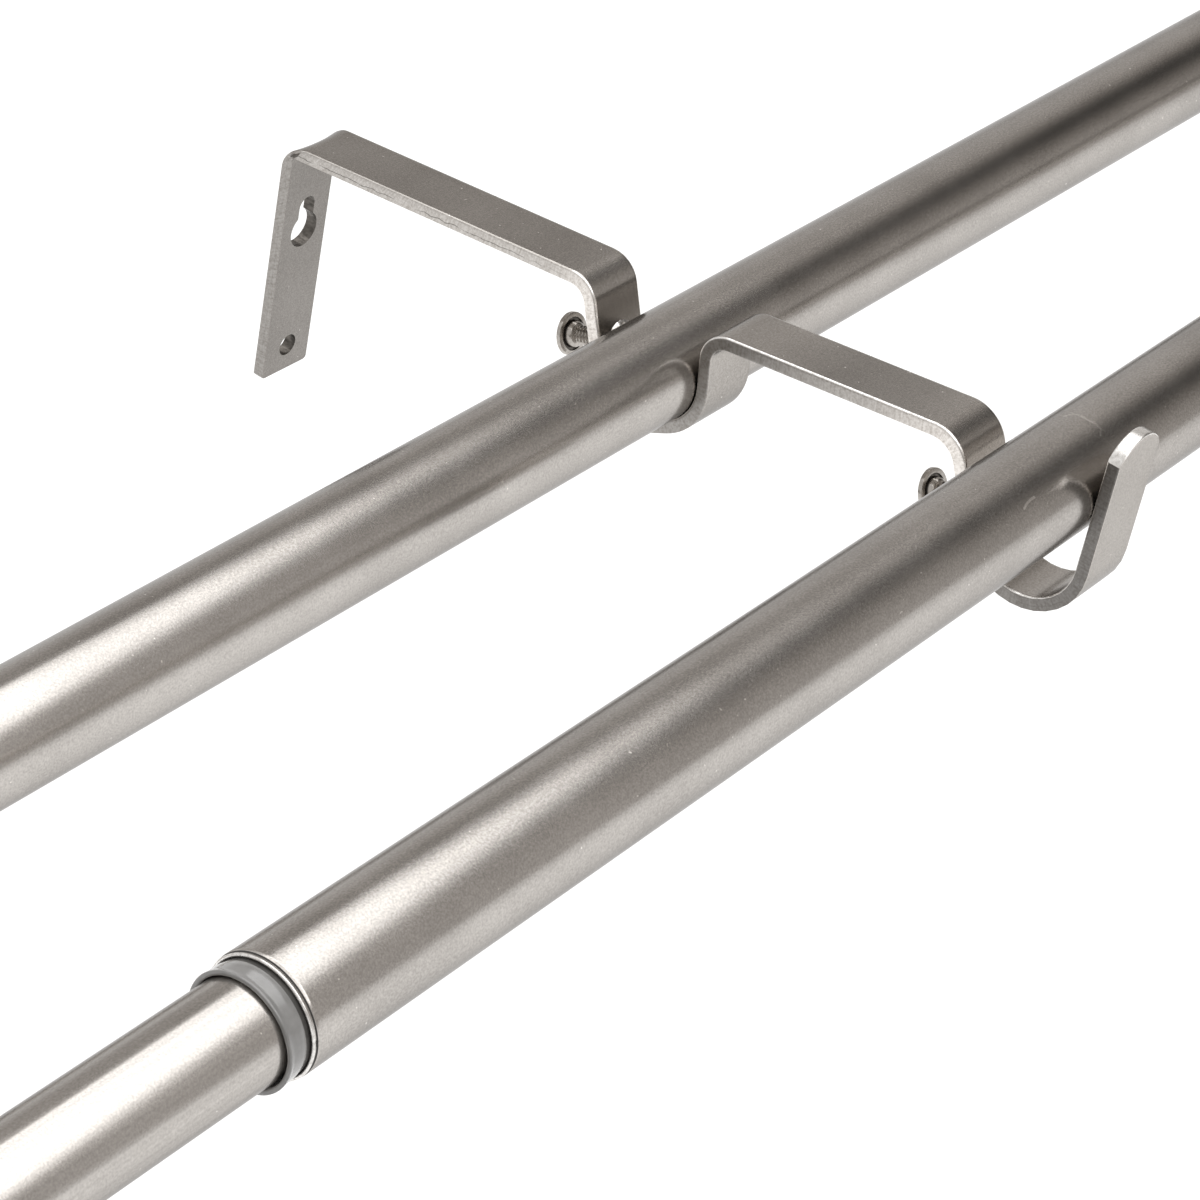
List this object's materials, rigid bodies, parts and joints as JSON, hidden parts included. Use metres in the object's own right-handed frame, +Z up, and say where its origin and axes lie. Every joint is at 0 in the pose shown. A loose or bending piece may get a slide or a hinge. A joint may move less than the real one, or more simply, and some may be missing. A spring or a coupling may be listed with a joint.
{
  "type": "double curtain pole",
  "caption": "Double telescopic curtain pole: two tube-in-tube rods resting in a pair of bent flat-bar wall brackets, each rod held by a clamp screw at each bracket.",
  "frame": {"origin": "on the wall plane, midway between the lower screw holes of the two brackets", "axes": "+X along the poles (to the right for someone facing the wall, the sliding inner tubes come out towards -X), +Y back into the wall, +Z up"},
  "size_m": [0.8221, 0.1792, 0.0819],
  "materials": {
    "tube_steel": "satin",
    "strip_steel": "satin",
    "screw_steel": "polished",
    "sleeve_plastic": "matte",
    "cap_plastic": "satin"
  },
  "bodies": {
    "mounted": {"bracket_left": "strip_steel", "bracket_right": "strip_steel", "rear_outer_tube": "tube_steel", "rear_sleeve": "sleeve_plastic", "rear_outer_cap": "cap_plastic", "front_outer_tube": "tube_steel", "front_sleeve": "sleeve_plastic", "front_outer_cap": "cap_plastic"},
    "rear_screw_left_body": {"rear_screw_left": "screw_steel"},
    "rear_screw_right_body": {"rear_screw_right": "screw_steel"},
    "front_screw_left_body": {"front_screw_left": "screw_steel"},
    "front_screw_right_body": {"front_screw_right": "screw_steel"},
    "rear_slider": {"rear_inner_tube": "tube_steel", "rear_inner_cap": "cap_plastic"},
    "front_slider": {"front_inner_tube": "tube_steel", "front_inner_cap": "cap_plastic"}
  },
  "joints": [
    {"name": "rear_screw_left_travel", "type": "slide", "parent": "mounted", "child": "rear_screw_left_body", "axis": [0, -0.9397, 0.342], "range_m": [-0.004, 0]},
    {"name": "rear_screw_right_travel", "type": "slide", "parent": "mounted", "child": "rear_screw_right_body", "axis": [0, -0.9397, 0.342], "range_m": [-0.004, 0]},
    {"name": "front_screw_left_travel", "type": "slide", "parent": "mounted", "child": "front_screw_left_body", "axis": [0, -0.9135, 0.4067], "range_m": [-0.004, 0]},
    {"name": "front_screw_right_travel", "type": "slide", "parent": "mounted", "child": "front_screw_right_body", "axis": [0, -0.9135, 0.4067], "range_m": [-0.004, 0]},
    {"name": "rear_extension", "type": "slide", "parent": "mounted", "child": "rear_slider", "axis": [-1, 0, 0], "range_m": [-0.105, 0.37]},
    {"name": "front_extension", "type": "slide", "parent": "mounted", "child": "front_slider", "axis": [-1, 0, 0], "range_m": [-0.105, 0.37]}
  ]
}
